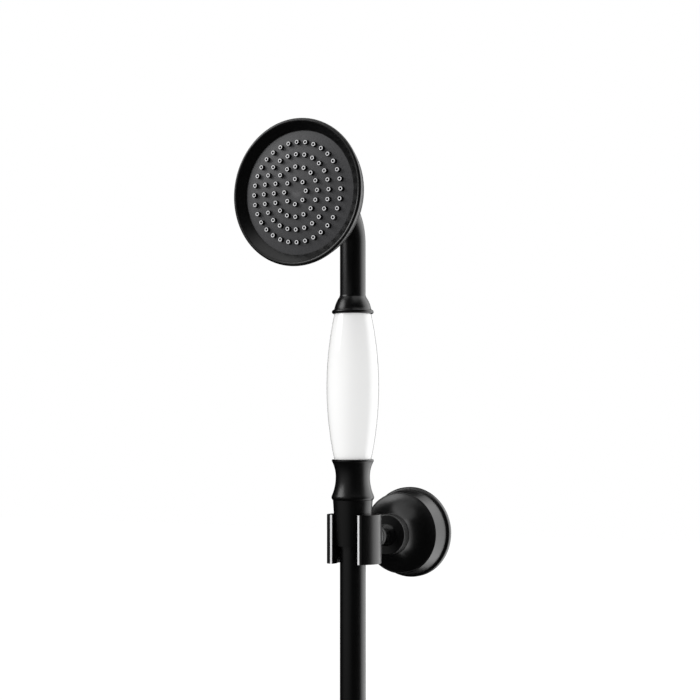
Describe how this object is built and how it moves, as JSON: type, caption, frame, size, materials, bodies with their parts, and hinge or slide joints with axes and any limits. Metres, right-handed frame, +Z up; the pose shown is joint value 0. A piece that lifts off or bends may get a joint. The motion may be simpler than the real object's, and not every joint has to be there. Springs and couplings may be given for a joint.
{
  "type": "handheld shower head",
  "caption": "Black traditional handheld shower head with white ceramic grip, smooth hose and swivelling wall clip.",
  "frame": {"origin": "middle of the wall flange's back face, on the wall", "axes": "+Y points into the wall, -Y into the room along the bracket's arm, +Z up along the handset, +X to the right for someone facing the wall"},
  "size_m": [0.2207, 0.145, 0.5515],
  "materials": {
    "black_coat": "satin matte black powder coat on brass",
    "black_plate": "fine-textured matte black spray face",
    "ceramic": "glazed white ceramic, glossy",
    "silicone_nozzles": "grey silicone",
    "hose_skin": "smooth black flexible PVC, semi-gloss",
    "rubber_black": "black sealing rubber",
    "fibre": "red fibre sealing washer",
    "nylon": "natural acetal",
    "bare_brass": "machined brass",
    "steel": "stainless steel",
    "plastic_grey": "moulded acetal, grey",
    "tie": "hook-and-loop strap, black"
  },
  "bodies": {
    "wall_bracket": {"wall_plate": "bare_brass", "wall_flange": "black_coat", "flange_grub_screw": "steel", "seat_spring": "steel", "seat_ring": "nylon", "lock_nut": "black_coat"},
    "seat": {"ball_seat": "nylon"},
    "stud": {"ball_stud": "black_coat", "clip_washer": "nylon", "clip_screw": "steel"},
    "clip": {"clip": "black_coat"},
    "hose": {"hose_tail": "bare_brass", "hose_sleeve": "black_coat", "hose": "hose_skin", "hose_coil": "hose_skin", "coil_tie_right": "tie", "coil_tie_left": "tie", "end_tail": "bare_brass", "end_sleeve": "black_coat"},
    "end_nut": {"end_nut": "black_coat", "end_washer": "rubber_black"},
    "handset": {"hose_nut": "black_coat", "filter_washer": "rubber_black", "lower_ferrule": "black_coat", "flow_limiter": "plastic_grey", "lower_handle_washer": "fibre", "ceramic_handle": "ceramic", "upper_handle_washer": "fibre", "tie_tube": "bare_brass", "tube_seals": "rubber_black", "upper_collar": "black_coat", "neck_tube": "black_coat", "head_shell": "black_coat", "face_ring": "black_coat", "spray_plate": "black_plate", "nozzle_mat": "silicone_nozzles", "mat_retainer": "plastic_grey", "head_seal": "rubber_black"}
  },
  "joints": [
    {"name": "seat_turn", "type": "hinge", "parent": "wall_bracket", "child": "seat", "pos_m": [0, -0.0307, 0], "axis": [0, 1, 0], "continuous": true},
    {"name": "ball_tilt", "type": "hinge", "parent": "seat", "child": "stud", "pos_m": [0, -0.0307, 0], "axis": [1, 0, 0], "range_deg": [-20, 20]},
    {"name": "clip_turn", "type": "hinge", "parent": "stud", "child": "clip", "pos_m": [0, -0.05, 0], "axis": [0, 1, 0], "continuous": true},
    {"name": "handset_lift", "type": "slide", "parent": "clip", "child": "hose", "axis": [0, 0, 1], "range_m": [0, 0.035]},
    {"name": "handset_turn", "type": "hinge", "parent": "hose", "child": "handset", "pos_m": [0, -0.077, 0], "axis": [0, 0, 1], "continuous": true},
    {"name": "end_nut_turn", "type": "hinge", "parent": "hose", "child": "end_nut", "pos_m": [-0.164, -0.0372, -0.2022], "axis": [0, 0, 1], "continuous": true}
  ]
}
